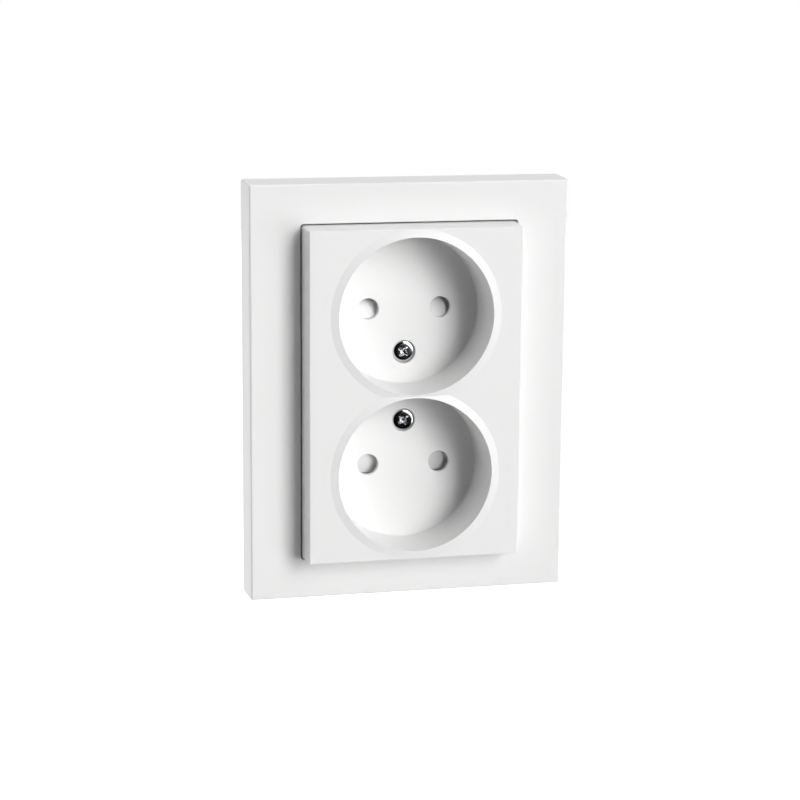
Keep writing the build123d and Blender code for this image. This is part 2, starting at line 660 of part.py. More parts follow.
for pole, label in ((-1, "live_release_button"), (1, "neutral_release_button")):
    with BuildPart() as button:
        with BuildSketch(at(crossbar_back)):
            with Locations((pole * BUTTON_X, 0)):
                Rectangle(BUTTON_WIDTH, BUTTON_SPAN)
        extrude(amount=BUTTON_FRONT - crossbar_back)
        with BuildSketch(at(-HOUSING_DEPTH - BUTTON_PROUD)):
            with Locations((pole * BUTTON_X, 0)):
                RectangleRounded(BUTTON_WIDTH, STEM, BUTTON_EDGE)
        extrude(amount=crossbar_back + HOUSING_DEPTH + BUTTON_PROUD)
        chamfer(button.faces().sort_by(Axis.Y)[-1].edges(), BUTTON_EDGE)
    save(button, label)


# Clamp springs: one for each wire, from its rib back to the terminal plate
for pole, pole_name in ((-1, "live"), (1, "neutral")):
    for row, row_name in ((1, "upper"), (-1, "lower")):
        with BuildPart() as clamp:
            with BuildSketch(Plane.XY.offset(row * WIRE_Z)):
                with BuildLine():
                    FilletPolyline((pole * CLAMP_ANCHOR_X, -CLAMP_ANCHOR_HEIGHT),
                                   (pole * CLAMP_ANCHOR_X, -CLAMP_CREST_HEIGHT),
                                   (pole * CLAMP_CREST_X, -CLAMP_CREST_HEIGHT),
                                   (pole * CLAMP_TIP_X, -CLAMP_TIP_HEIGHT), radius=CLAMP_BEND)
                trace(line_width=CLAMP_STRIP)
            extrude(amount=CLAMP_WIDTH / 2, both=True)
        save(clamp, f"{pole_name}_{row_name}_clamp_spring")


# Rivets: hold the support frame, the insert cover and the housing together
rivet_seat = -HOUSING_DEPTH + RIVET_RECESS

with BuildPart() as rivets:
    with BuildSketch(at(rivet_seat - RIVET_HEAD)):
        with rivet_points():
            Circle(RIVET_HEAD_RADIUS)
    extrude(amount=RIVET_HEAD)
    with BuildSketch(at(rivet_seat)):
        with rivet_points():
            Circle(RIVET_RADIUS)
    extrude(amount=SHEET - rivet_seat)
    with BuildSketch(at(SHEET)):
        with rivet_points():
            Circle(RIVET_HEAD_RADIUS)
    extrude(amount=RIVET_HEAD)
    with BuildSketch(at(rivet_seat - RIVET_HEAD)):
        with rivet_points():
            Circle(RIVET_BORE_RADIUS)
    extrude(amount=RIVET_BORE_DEPTH, mode=Mode.SUBTRACT)
    for head_height in (rivet_seat - RIVET_HEAD, SHEET + RIVET_HEAD):
        chamfer(rims(rivets, RIVET_HEAD_RADIUS, head_height), RIVET_HEAD / 2)
save(rivets, "rivets")
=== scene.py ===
# %% [markdown]
# # A double wall socket, dressed for its portrait
#
# The solids of this socket come in as a fixed frame: a square-cornered cover frame, a centre plate with two
# plug cups, two bright screws, and the parts that hide behind them. This notebook gives each of them its
# finish, builds the pieces that need finer shape than the solids have, and sets up the camera and the light.
# Every length is in metres. The wall is the plane Y = 0, the room is on the -Y side, and Z is up.

# %% Load the frame
import json
import math

import bmesh
import bpy
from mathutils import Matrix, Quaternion, Vector


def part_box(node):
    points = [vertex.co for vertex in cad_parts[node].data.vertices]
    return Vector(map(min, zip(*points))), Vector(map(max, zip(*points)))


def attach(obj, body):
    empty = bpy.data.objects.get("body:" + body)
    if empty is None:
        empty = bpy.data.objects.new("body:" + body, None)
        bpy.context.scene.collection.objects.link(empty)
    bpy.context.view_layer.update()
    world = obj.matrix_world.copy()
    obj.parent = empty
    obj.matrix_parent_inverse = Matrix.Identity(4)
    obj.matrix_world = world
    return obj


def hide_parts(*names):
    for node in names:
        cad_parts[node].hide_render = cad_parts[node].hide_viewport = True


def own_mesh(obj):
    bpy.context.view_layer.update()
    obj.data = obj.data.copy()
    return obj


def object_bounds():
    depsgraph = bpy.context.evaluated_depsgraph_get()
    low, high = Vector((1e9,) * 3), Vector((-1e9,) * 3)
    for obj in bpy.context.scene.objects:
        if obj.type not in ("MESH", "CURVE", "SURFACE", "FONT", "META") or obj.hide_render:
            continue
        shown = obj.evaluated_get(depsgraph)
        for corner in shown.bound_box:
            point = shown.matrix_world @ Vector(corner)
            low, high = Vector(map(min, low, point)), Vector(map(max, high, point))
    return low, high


MM = 0.001

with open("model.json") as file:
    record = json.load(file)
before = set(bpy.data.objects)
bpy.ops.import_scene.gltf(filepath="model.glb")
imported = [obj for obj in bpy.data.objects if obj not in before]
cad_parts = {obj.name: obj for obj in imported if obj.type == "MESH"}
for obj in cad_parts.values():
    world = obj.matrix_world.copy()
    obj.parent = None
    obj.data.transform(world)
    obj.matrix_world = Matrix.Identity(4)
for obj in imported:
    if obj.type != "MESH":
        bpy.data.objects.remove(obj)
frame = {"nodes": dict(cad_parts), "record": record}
nodes = frame["nodes"]
cad_low, cad_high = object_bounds()
scene = bpy.context.scene
print("nodes:", len(nodes), "size in mm:", [round((b - a) / MM, 1) for a, b in zip(cad_low, cad_high)])

# %% [markdown]
# ## The camera
#
# The real camera stood to the left of the socket, a little above it, and 0.6 m away. Its place was found by
# fitting a pinhole camera to the corners and circles of the socket, with the pin holes 19 mm apart as the
# scale. Aiming a camera needs a target, a distance and two angles. A small roll about its own line of sight
# tips the picture, as on a hand-held camera.

# %% Camera
AZIMUTH = math.radians(-13.26)
ELEVATION = math.radians(11.674)
ROLL = math.radians(0.43)
CAMERA_TARGET = Vector((-0.12 * MM, 0, -4.46 * MM))
CAMERA_DISTANCE = 594.3 * MM
FOCAL_PIXELS = 2271.7
PICTURE_PIXELS = 800
SENSOR_MM = 36
NEAREST_SEEN = 0.01
FARTHEST_SEEN = 20


def toward(azimuth, elevation):
    """The direction from the socket to a place in the room, for two angles in radians."""
    return Vector((math.sin(azimuth) * math.cos(elevation),
                   -math.cos(azimuth) * math.cos(elevation), math.sin(elevation)))


def aim_camera():
    """A camera on a sphere round its target, rolled about its line of sight."""
    data = bpy.data.cameras.new("portrait_camera")
    data.sensor_width = SENSOR_MM
    data.lens = FOCAL_PIXELS / PICTURE_PIXELS * SENSOR_MM
    data.clip_start, data.clip_end = NEAREST_SEEN, FARTHEST_SEEN
    camera = bpy.data.objects.new("portrait_camera", data)
    scene.collection.objects.link(camera)
    back = toward(AZIMUTH, ELEVATION)
    camera.location = CAMERA_TARGET + back * CAMERA_DISTANCE
    camera.rotation_mode = "QUATERNION"
    camera.rotation_quaternion = Quaternion(back, ROLL) @ (-back).to_track_quat("-Z", "Y")
    scene.camera = camera
    return camera


camera = aim_camera()
print("lens in mm:", round(camera.data.lens, 2))

# %% [markdown]
# ## The studio
#
# The photograph is a catalogue picture: one tall softbox on the right, a white surround behind the socket,
# and a dark room behind the camera. The dark side gives the cups their deep shadows and the screws their
# black reflections. Weaker panels fill those shadows: a white table below the softbox, the ceiling, the
# floor, the left wall and a grey board beside it.
#
# Area lamps would do, but every panel of such a studio can also be painted straight into the world: a patch
# of directions with soft edges and one tone. Cycles finds the bright patches by itself. For rays that come
# straight from the camera the world is plain white, so the background is white with no more light on the
# socket. The Standard view shows each tone as it is, with no film curve over it.

# %% Helpers for node trees
def add_node(tree, kind, *links, mode=None, **inputs):
    """A node with its mode set, then its plain values, then its links of (socket, input name or number)."""
    node = tree.nodes.new(kind)
    if mode:
        node.mode = mode
    for label, value in inputs.items():
        node.inputs[label.replace("_", " ")].default_value = value
    for socket, key in links:
        tree.links.new(socket, node.inputs[key])
    return node


def maths(tree, operation, first, second=0.0):
    """A Math node. Each side is a number or an output socket."""
    node = tree.nodes.new("ShaderNodeMath")
    node.operation = operation
    for socket, value in zip(node.inputs, (first, second)):
        if isinstance(value, bpy.types.NodeSocket):
            tree.links.new(value, socket)
        else:
            socket.default_value = value
    return node.outputs[0]


def backdrop_mask(tree, depth):
    """1 where the backdrop shows: to the camera, and behind the wall plane also in reflections."""
    path = add_node(tree, "ShaderNodeLightPath").outputs
    mirrored = maths(tree, "MAXIMUM", path["Is Glossy Ray"], path["Is Transmission Ray"])
    behind = maths(tree, "GREATER_THAN", depth, 0.0)
    return maths(tree, "MAXIMUM", path["Is Camera Ray"], maths(tree, "MULTIPLY", behind, mirrored))


# %% Studio panels
STUDIO_PANELS = {
    "softbox": {"across": (29, 9, 17), "up": (18, 12, 30), "tone": 9.35},
    "white table": {"across": (48, 8, 16), "up": (-14, 4, 10), "tone": 5.5},
    "ceiling": {"across": (0, 180, 181), "up": (90, 16, 30), "tone": 1.7},
    "floor below": {"across": (0, 180, 181), "up": (-90, 40, 50), "tone": 0.8},
    "left wall": {"across": (-140, 45, 55), "up": (0, 50, 70), "tone": 1.05},
    "grey board on the left": {"across": (-74, 6, 14), "up": (0, 50, 70), "tone": 0.95},
}


def panel(tree, azimuth, elevation, across, up, tone):
    """A soft-edged patch of light. Across and up hold its centre, its full part and its reach, in degrees."""
    mask = tone
    for angle, (centre, full, reach) in ((azimuth, across), (elevation, up)):
        off = maths(tree, "ABSOLUTE", maths(tree, "SUBTRACT", angle, math.radians(centre)))
        edge = add_node(tree, "ShaderNodeMapRange", (off, "Value"),
                        From_Min=math.radians(reach), From_Max=math.radians(full))
        edge.interpolation_type = "SMOOTHSTEP"
        mask = maths(tree, "MULTIPLY", edge.outputs[0], mask)
    return mask


# %% World
PURE_WHITE = (1, 1, 1, 1)


def studio_world():
    """White to the camera. For light and for reflections, the studio's panels in a dark room."""
    world = bpy.data.worlds.new("studio")
    world.use_nodes = True
    tree = world.node_tree
    tree.nodes.clear()
    direction = add_node(tree, "ShaderNodeTexCoord").outputs["Generated"]
    ray = add_node(tree, "ShaderNodeSeparateXYZ", (direction, 0)).outputs
    azimuth = maths(tree, "ARCTAN2", ray["X"], maths(tree, "MULTIPLY", ray["Y"], -1.0))
    elevation = maths(tree, "ARCSINE", ray["Z"])
    glow = 0.0
    for settings in STUDIO_PANELS.values():
        glow = maths(tree, "ADD", panel(tree, azimuth, elevation, **settings), glow)
    light = add_node(tree, "ShaderNodeBackground", (glow, "Strength"), Color=PURE_WHITE)
    white = add_node(tree, "ShaderNodeBackground", Color=PURE_WHITE, Strength=1.0)
    mix = add_node(tree, "ShaderNodeMixShader", (backdrop_mask(tree, ray["Y"]), "Fac"),
                   (light.outputs[0], 1), (white.outputs[0], 2))
    add_node(tree, "ShaderNodeOutputWorld", (mix.outputs[0], 0))
    scene.world = world
    scene.view_settings.view_transform = "Standard"


studio_world()
print("panels:", list(STUDIO_PANELS))

# %% [markdown]
# ## The floor
#
# The socket hangs on a wall, so nothing stands under it. A pale floor lies well below it and takes its soft
# shadow. To the camera the floor is white paint with a glow, which melts into the background. Reflections
# show it only behind the socket, as the room in front of it is dark. Light that bounces round the studio
# passes through it, so that the floor doesn't light the socket from below.

# %% Floor
FLOOR_DROP = 0.3
FLOOR_SIZE = 6.0
FLOOR_PAINT = (0.9, 0.9, 0.9, 1)
FLOOR_GLOW = 0.85


def object_place(tree):
    """Object coordinates, in metres."""
    return add_node(tree, "ShaderNodeTexCoord").outputs["Object"]


def floor_material():
    """White paint with a glow where the backdrop shows, and clear for all other light."""
    material = bpy.data.materials.new("floor_paint")
    material.use_nodes = True
    tree = material.node_tree
    tree.nodes.clear()
    paint = add_node(tree, "ShaderNodeBsdfDiffuse", Color=FLOOR_PAINT)
    glow = add_node(tree, "ShaderNodeEmission", Color=PURE_WHITE, Strength=FLOOR_GLOW)
    both = add_node(tree, "ShaderNodeAddShader", (paint.outputs[0], 0), (glow.outputs[0], 1))
    clear = add_node(tree, "ShaderNodeBsdfTransparent")
    place = add_node(tree, "ShaderNodeSeparateXYZ", (object_place(tree), 0)).outputs
    mix = add_node(tree, "ShaderNodeMixShader", (backdrop_mask(tree, place["Y"]), "Fac"),
                   (clear.outputs[0], 1), (both.outputs[0], 2))
    add_node(tree, "ShaderNodeOutputMaterial", (mix.outputs[0], 0))
    return material


def studio_floor():
    """A white plane below the socket."""
    mesh = bpy.data.meshes.new("studio_floor")
    half, level = FLOOR_SIZE / 2, cad_low[2] - FLOOR_DROP
    corners = [(-half, -half, level), (half, -half, level), (half, half, level), (-half, half, level)]
    mesh.from_pydata(corners, [], [(0, 1, 2, 3)])
    mesh.materials.append(floor_material())
    floor = bpy.data.objects.new("studio_floor", mesh)
    scene.collection.objects.link(floor)
    return floor


floor = studio_floor()
print("floor at mm:", round(floor.data.vertices[0].co.z / MM, 1))

# %% [markdown]
# ## Effects that several finishes share
#
# Surfaces of one family differ in small ways only. Moulded plastic carries the fine bite of its tool, and
# drawn or rolled metal carries lines along the way that it was worked. Each such effect is one shader group
# with named inputs, built once and placed in every material that shows it. A group puts out colours and
# masks only, and the shader itself stays in the material. All groups read Object coordinates, which are
# metres here, so a grain of 0.3 mm is 0.3 mm on every piece.

# %% Helpers for shader groups
def shader_group(name, inputs, outputs):
    """An empty shader group: inputs are (name, kind, value), outputs are (name, kind)."""
    group = bpy.data.node_groups.new(name, "ShaderNodeTree")
    for label, kind, value in inputs:
        socket = group.interface.new_socket(label, in_out="INPUT", socket_type=f"NodeSocket{kind}")
        socket.default_value = value
    for label, kind in outputs:
        group.interface.new_socket(label, in_out="OUTPUT", socket_type=f"NodeSocket{kind}")
    return group, group.nodes.new("NodeGroupInput").outputs, group.nodes.new("NodeGroupOutput").inputs


def vector_maths(tree, operation, vector, other):
    """A Vector Math node on two vectors, or on a vector and the number that scales it."""
    node = tree.nodes.new("ShaderNodeVectorMath")
    node.operation = operation
    tree.links.new(vector, node.inputs[0])
    tree.links.new(other, node.inputs["Scale" if operation == "SCALE" else 1])
    return node.outputs[0]


def over_size(tree, place, size):
    """Coordinates divided by a size, so that noise of scale 1 has features of that size."""
    return vector_maths(tree, "SCALE", place, maths(tree, "DIVIDE", 1.0, size))


def noise(tree, place, detail=2.0):
    """A noise of scale 1 on coordinates that are already divided by its size."""
    return add_node(tree, "ShaderNodeTexNoise", (place, "Vector"), Scale=1.0, Detail=detail).outputs["Fac"]


# %% Tool grain: the fine bite of a spark-eroded mould
def build_tool_grain():
    """Height of the grain, and a slow mask for gloss."""
    group, given, result = shader_group(
        "tool_grain", [("Grain Size", "Float", 0.3 * MM), ("Cloud Size", "Float", 12 * MM)],
        [("Height", "Float"), ("Gloss", "Float")])
    place = object_place(group)
    fine = over_size(group, place, given["Grain Size"])
    pits = add_node(group, "ShaderNodeTexVoronoi", Scale=1.0)
    pits.feature = "SMOOTH_F1"
    group.links.new(fine, pits.inputs["Vector"])
    grain = maths(group, "MULTIPLY", noise(group, fine), pits.outputs["Distance"])
    group.links.new(grain, result["Height"])
    group.links.new(noise(group, over_size(group, place, given["Cloud Size"])), result["Gloss"])
    return group


tool_grain = build_tool_grain()
print("shader group:", tool_grain.name)


# %% Tone drift: a colour that is never quite even
def build_tone_drift():
    """The colour, a little lighter and darker in soft patches."""
    group, given, result = shader_group(
        "tone_drift", [("Colour", "Color", (0.8, 0.8, 0.8, 1)), ("Amount", "Float", 0.01),
                       ("Patch Size", "Float", 20 * MM)], [("Colour", "Color")])
    cloud = noise(group, over_size(group, object_place(group), given["Patch Size"]))
    swing = maths(group, "MULTIPLY", maths(group, "SUBTRACT", cloud, 0.5), given["Amount"])
    tint = vector_maths(group, "SCALE", given["Colour"], maths(group, "ADD", 1.0, swing))
    group.links.new(tint, result["Colour"])
    return group


tone_drift = build_tone_drift()
print("shader group:", tone_drift.name)


# %% Worked streaks: fine lines along the way that a metal was rolled or drawn
def build_worked_streaks():
    """A mask of lines. Along scales the pattern on each axis: a small number gives long lines."""
    group, given, result = shader_group(
        "worked_streaks", [("Line Width", "Float", 0.06 * MM), ("Along", "Vector", (1, 1, 0.03))],
        [("Lines", "Float")])
    pulled = vector_maths(group, "MULTIPLY", object_place(group), given["Along"])
    lines = noise(group, over_size(group, pulled, given["Line Width"]), detail=3.0)
    group.links.new(lines, result["Lines"])
    return group


worked_streaks = build_worked_streaks()
print("shader group:", worked_streaks.name)


# %% Turning marks: rings round the axis of a turned or rolled piece
def build_turning_marks():
    """Rings round four mirrored axes, at plus and minus Across and plus and minus Up."""
    group, given, result = shader_group(
        "turning_marks", [("Across", "Float", 0.0), ("Up", "Float", 9 * MM), ("Pitch", "Float", 0.08 * MM)],
        [("Rings", "Float")])
    place = add_node(group, "ShaderNodeSeparateXYZ", (object_place(group), 0)).outputs
    squares = []
    for axis, centre in (("X", "Across"), ("Z", "Up")):
        folded = maths(group, "SUBTRACT", maths(group, "ABSOLUTE", place[axis]), given[centre])
        squares.append(maths(group, "MULTIPLY", folded, folded))
    radius = maths(group, "SQRT", maths(group, "ADD", *squares))
    turns = maths(group, "DIVIDE", maths(group, "MULTIPLY", radius, math.tau), given["Pitch"])
    wave = maths(group, "MULTIPLY", maths(group, "SINE", turns), 0.5)
    group.links.new(maths(group, "ADD", wave, 0.5), result["Rings"])
    return group


turning_marks = build_turning_marks()
print("shader group:", turning_marks.name)

# %% [markdown]
# ## The plastics
#
# Cover frame and centre plate are one moulded thermoplastic: white, smooth, with a low satin gloss. Shutters,
# retainers, insert and buttons are plainer mouldings of the same family, so one function makes them all. A
# painted texture could show the grain too, but noise at the true scale needs no picture and holds at any
# distance. The socket is new, so there is no dirt and no wear, only the small unevenness of a moulding.

# %% Helpers for materials
def fresh_material(name):
    """A material with a bare Principled shader: the material, its tree and the shader's inputs."""
    material = bpy.data.materials.new(name)
    material.use_nodes = True
    return material, material.node_tree, material.node_tree.nodes["Principled BSDF"].inputs


def place_group(tree, group, **values):
    """A group placed in a material with its own values. Returns its outputs."""
    node = tree.nodes.new("ShaderNodeGroup")
    node.node_tree = group
    for label, value in values.items():
        node.inputs[label.replace("_", " ")].default_value = value
    return node.outputs


def bump(tree, height, depth, normal):
    """Relief of a real depth, led into a shader's normal."""
    node = add_node(tree, "ShaderNodeBump", (height, "Height"), Strength=1.0, Distance=depth)
    tree.links.new(node.outputs["Normal"], normal)


def between(tree, mask, low, high):
    """A value that runs from low to high as a mask runs from 0 to 1."""
    return add_node(tree, "ShaderNodeMapRange", (mask, "Value"), To_Min=low, To_Max=high).outputs[0]


# %% A maker for plastics
def moulding(name, colour, roughness, grain, depth, drift):
    """Moulded plastic: a drifting tone, tool grain as relief, and a roughness that clouds slowly."""
    material, tree, shader = fresh_material(name)
    tone = place_group(tree, tone_drift, Colour=(*colour, 1), Amount=drift)
    tree.links.new(tone["Colour"], shader["Base Color"])
    bite = place_group(tree, tool_grain, Grain_Size=grain)
    tree.links.new(between(tree, bite["Gloss"], *roughness), shader["Roughness"])
    bump(tree, bite["Height"], depth, shader["Normal"])
    return material


# %% Plastics
WHITE = (0.83, 0.83, 0.827)
RETAINER_GREY = (0.55, 0.56, 0.57)
INSERT_GREY = (0.72, 0.72, 0.7)
BUTTON_ORANGE = (0.8, 0.35, 0.1)

finishes = {
    "white_cover": moulding("satin_white", WHITE, roughness=(0.36, 0.42),
                            grain=0.32 * MM, depth=0.004 * MM, drift=0.012),
    "shutter_white": moulding("matt_white", WHITE, roughness=(0.5, 0.58),
                              grain=0.2 * MM, depth=0.006 * MM, drift=0.01),
    "retainer_plastic": moulding("matt_grey", RETAINER_GREY, roughness=(0.5, 0.6),
                                 grain=0.25 * MM, depth=0.01 * MM, drift=0.04),
    "insert_plastic": moulding("matt_light_grey", INSERT_GREY, roughness=(0.48, 0.6),
                               grain=0.4 * MM, depth=0.02 * MM, drift=0.05),
    "button_plastic": moulding("matt_orange", BUTTON_ORANGE, roughness=(0.4, 0.5),
                               grain=0.2 * MM, depth=0.01 * MM, drift=0.05),
}
print("plastics:", list(finishes))

# %% [markdown]
# ## The metals
#
# A metal's colour is its reflection, so roughness and relief do most of the work. The two cover screws are
# headed from wire and bright plated: nearly a mirror, with faint rings. The support frame is zinc-plated
# sheet with rolling lines and a soft bloom. The springs are drawn wire and strip, the rivets are rolled over
# and so are marked in rings, and the contacts are stamped brass that has toned down a little.

# %% A maker for metals
METAL_PATCH = 3 * MM


def metal(name, colour, roughness, marks, mark, depth, drift):
    """A worked metal. Marks are a placed group's outputs, and mark names the one to use."""
    material, tree, shader = fresh_material(name)
    shader["Metallic"].default_value = 1.0
    tone = place_group(tree, tone_drift, Colour=(*colour, 1), Amount=drift, Patch_Size=METAL_PATCH)
    tree.links.new(tone["Colour"], shader["Base Color"])
    mask = place_group(tree, **marks)[mark]
    tree.links.new(between(tree, mask, *roughness), shader["Roughness"])
    bump(tree, mask, depth, shader["Normal"])
    return material


# %% Rings and lines, with the rings centred on the screws and rivets of the frame
RIVET_HEAD_RADIUS = 2.1 * MM

screw_low, screw_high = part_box("cover_screws")
head_radius = (screw_high[0] - screw_low[0]) / 2
screw_up = screw_high[2] - head_radius
rivet_low, rivet_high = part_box("rivets")
rivet_across = rivet_high[0] - RIVET_HEAD_RADIUS
rivet_up = rivet_high[2] - RIVET_HEAD_RADIUS

screw_rings = {"group": turning_marks, "Across": 0.0, "Up": screw_up, "Pitch": 0.09 * MM}
rivet_rings = {"group": turning_marks, "Across": rivet_across, "Up": rivet_up, "Pitch": 0.15 * MM}
rolled_lines = {"group": worked_streaks, "Line_Width": 0.12 * MM, "Along": (1, 1, 0.02)}
drawn_lines = {"group": worked_streaks, "Line_Width": 0.05 * MM, "Along": (0.2, 0.2, 1)}
stamped_lines = {"group": worked_streaks, "Line_Width": 0.08 * MM, "Along": (1, 0.04, 1)}
print("screws at mm:", round(screw_up / MM, 2))
print("rivets at mm:", round(rivet_across / MM, 2), round(rivet_up / MM, 2))

# %% Metals
BRIGHT_PLATE = (0.75, 0.76, 0.78)
ZINC = (0.5, 0.515, 0.53)
SPRING_STEEL = (0.6, 0.61, 0.62)
RIVET_STEEL = (0.68, 0.69, 0.71)
BRASS = (0.78, 0.6, 0.28)

finishes["screw_chrome"] = metal("bright_plate", BRIGHT_PLATE, roughness=(0.06, 0.1), marks=screw_rings,
                                 mark="Rings", depth=0.0004 * MM, drift=0.02)
finishes["zinc_sheet"] = metal("zinc_plate", ZINC, roughness=(0.3, 0.52), marks=rolled_lines,
                               mark="Lines", depth=0.004 * MM, drift=0.2)
finishes["spring_steel"] = metal("spring_temper", SPRING_STEEL, roughness=(0.22, 0.36), marks=drawn_lines,
                                 mark="Lines", depth=0.002 * MM, drift=0.06)
finishes["rivet_steel"] = metal("rivet_zinc", RIVET_STEEL, roughness=(0.3, 0.42), marks=rivet_rings,
                                mark="Rings", depth=0.004 * MM, drift=0.08)
finishes["contact_brass"] = metal("toned_brass", BRASS, roughness=(0.24, 0.4), marks=stamped_lines,
                                  mark="Lines", depth=0.002 * MM, drift=0.14)
print("all finishes:", list(finishes))

# %% [markdown]
# ## The solids get their finish
#
# Each solid of the frame already carries a material slot with the name of its finish in the record, so the
# finish goes in by that name. Nothing of the mesh is touched.

# %% Finishes on the solids
slots = {subpart["node"]: subpart["material_slot"] for subpart in frame["record"]["subparts"]}


def dress_nodes():
    """Puts the finish of its record slot on every solid."""
    for name, slot in slots.items():
        materials = nodes[name].data.materials
        materials.clear()
        materials.append(finishes[slot])


dress_nodes()
print("dressed solids:", len(slots))

# %% [markdown]
# ## Helpers for pieces
#
# The frame's solids are exact but plain. Some pieces are worth more shape: threads, recesses, wound coils,
# bent strip and knurls. Two ways make them all. What comes off a lathe is a profile spun round an axis. What
# follows a path, or stands in several places, is grown by a small tree of geometry nodes, whose result is
# kept as a plain mesh.

# %% Turned pieces
TURN_STEPS = 64
WELD = 0.001 * MM
SLIVER = WELD / 10


def weld(build):
    """Joins doubled points and turns every face outward."""
    bmesh.ops.remove_doubles(build, verts=build.verts, dist=WELD)
    bmesh.ops.dissolve_degenerate(build, edges=build.edges, dist=SLIVER)
    bmesh.ops.recalc_face_normals(build, faces=build.faces)


def lathe(name, profile, steps=TURN_STEPS):
    """A mesh of a profile of (radius, y) points in millimetres, spun round the Y axis."""
    build = bmesh.new()
    points = [build.verts.new((radius * MM, y * MM, 0)) for radius, y in profile]
    edges = [build.edges.new(pair) for pair in zip(points, points[1:])]
    bmesh.ops.spin(build, geom=points + edges, cent=(0, 0, 0), axis=(0, 1, 0), angle=math.tau, steps=steps,
                   use_merge=True)
    weld(build)
    mesh = bpy.data.meshes.new(name)
    build.to_mesh(mesh)
    build.free()
    return mesh


# %% Objects and their final meshes
def add_object(name, mesh):
    """An object that stands at the origin and shows a mesh."""
    thing = bpy.data.objects.new(name, mesh)
    scene.collection.objects.link(thing)
    return thing


def take_mesh(thing):
    """The mesh that an object's modifiers make, as a plain mesh. The object is removed."""
    bpy.context.view_layer.update()
    mesh = bpy.data.meshes.new_from_object(thing.evaluated_get(bpy.context.evaluated_depsgraph_get()))
    bpy.data.objects.remove(thing)
    return mesh


# %% Trees of geometry nodes
def geometry_tree(name, inputs):
    """A tree of geometry nodes with named inputs (name, kind): the tree, what it is given and its result."""
    tree = bpy.data.node_groups.new(name, "GeometryNodeTree")
    tree.interface.new_socket("Geometry", in_out="INPUT", socket_type="NodeSocketGeometry")
    for label, kind in inputs:
        tree.interface.new_socket(label, in_out="INPUT", socket_type=f"NodeSocket{kind}")
    tree.interface.new_socket("Geometry", in_out="OUTPUT", socket_type="NodeSocketGeometry")
    result = tree.nodes.new("NodeGroupOutput").inputs["Geometry"]
    return tree, tree.nodes.new("NodeGroupInput").outputs, result


def vector_of(tree, **parts):
    """A vector whose named parts are linked. The others are 0."""
    node = tree.nodes.new("ShaderNodeCombineXYZ")
    for axis, socket in parts.items():
        tree.links.new(socket, node.inputs[axis])
    return node.outputs[0]


def join(tree, *parts):
    """Several geometries as one."""
    return add_node(tree, "GeometryNodeJoinGeometry", *[(part, 0) for part in parts]).outputs[0]


def finish_tree(tree, geometry, given, result):
    """Makes instances real, sets the finish and ends the tree."""
    real = add_node(tree, "GeometryNodeRealizeInstances", (geometry, 0))
    painted = add_node(tree, "GeometryNodeSetMaterial", (real.outputs[0], 0), (given["Finish"], "Material"))
    tree.links.new(painted.outputs[0], result)


# %% Grown pieces
def grow(name, tree, mesh, **values):
    """Runs a tree on a mesh and keeps the result as a plain mesh on an object of its own."""
    holder = add_object(f"{name}_holder", mesh)
    modifier = holder.modifiers.new("grow", "NODES")
    modifier.node_group = tree
    for item in tree.interface.items_tree:
        label = item.name.replace(" ", "_")
        if item.in_out == "INPUT" and label in values:
            modifier[item.identifier] = values[label]
    holder.update_tag()
    grown = take_mesh(holder)
    build = bmesh.new()
    build.from_mesh(grown)
    weld(build)
    build.to_mesh(grown)
    build.free()
    grown.materials.clear()
    grown.materials.append(values["Finish"])
    grown.polygons.foreach_set("material_index", [0] * len(grown.polygons))
    grown.name = name
    return add_object(name, grown)


def stand_for(piece, solid):
    """The piece moves with the socket and replaces a solid of the frame."""
    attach(piece, "socket")
    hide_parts(solid)
    print(piece.name, "faces:", len(piece.data.polygons), "stands for:", solid)


# %% [markdown]
# ## The cover screws
#
# These are the only bright things in the picture. A real one is headed and rolled from wire: a pan head with
# a nearly flat crown that falls away to a tight edge, a punched cross recess and a rolled thread. The solid
# has the same head from straight steps. The bend of the crown decides which part of the room each spot
# mirrors, so here the head is a smooth curve, and the recess is cut with a tapered cross that ends in a
# point. A small bevel gives the recess the lit edge that a punch leaves.

# %% The headed blank
HEAD_SPREAD = 0.14
HEAD_RADIUS = head_radius / MM + HEAD_SPREAD
HEAD_TOP = screw_low[1] / MM
HEAD_HEIGHT = 1.8
HEAD_SEAT = HEAD_TOP + HEAD_HEIGHT
CROWN_DROP = 0.6
CROWN_POWER = 10
CROWN_STEPS = 28
SHANK_RADIUS = 1.45
CORE_RADIUS = 1.22
NECK = 0.5
NECK_TAPER = 0.25
TIP = screw_high[1] / MM
TIP_LENGTH = 0.6


def crown_profile():
    """Points from the middle of the crown to the edge of the head, closer together where it bends more."""
    points = []
    for step in range(CROWN_STEPS + 1):
        share = math.sin(math.pi / 2 * step / CROWN_STEPS)
        drop = CROWN_DROP * (1 - math.sqrt(1 - share ** CROWN_POWER))
        points.append((HEAD_RADIUS * share, HEAD_TOP + drop))
    return points


def screw_blank():
    """The headed blank, before recess and thread."""
    under = [(HEAD_RADIUS, HEAD_SEAT), (SHANK_RADIUS, HEAD_SEAT), (SHANK_RADIUS, HEAD_SEAT + NECK),
             (CORE_RADIUS, HEAD_SEAT + NECK + NECK_TAPER), (CORE_RADIUS, TIP - TIP_LENGTH),
             (CORE_RADIUS - TIP_LENGTH, TIP), (0, TIP)]
    return lathe("screw_blank", crown_profile() + under)


print("screw head across in mm:", round(2 * HEAD_RADIUS, 2), "screw length:", round(TIP - HEAD_TOP, 2))

# %% The cross recess
CROSS_SPAN = 3.0
CROSS_SLOT = 0.62
CROSS_CORE = 1.35
CROSS_DEPTH = 1.1
CROSS_POINT = 1.5
CROSS_ABOVE = 0.4
CROSS_SHRINK = 0.62
QUARTER_TURNS = ((1, 0), (0, 1), (-1, 0), (0, -1))


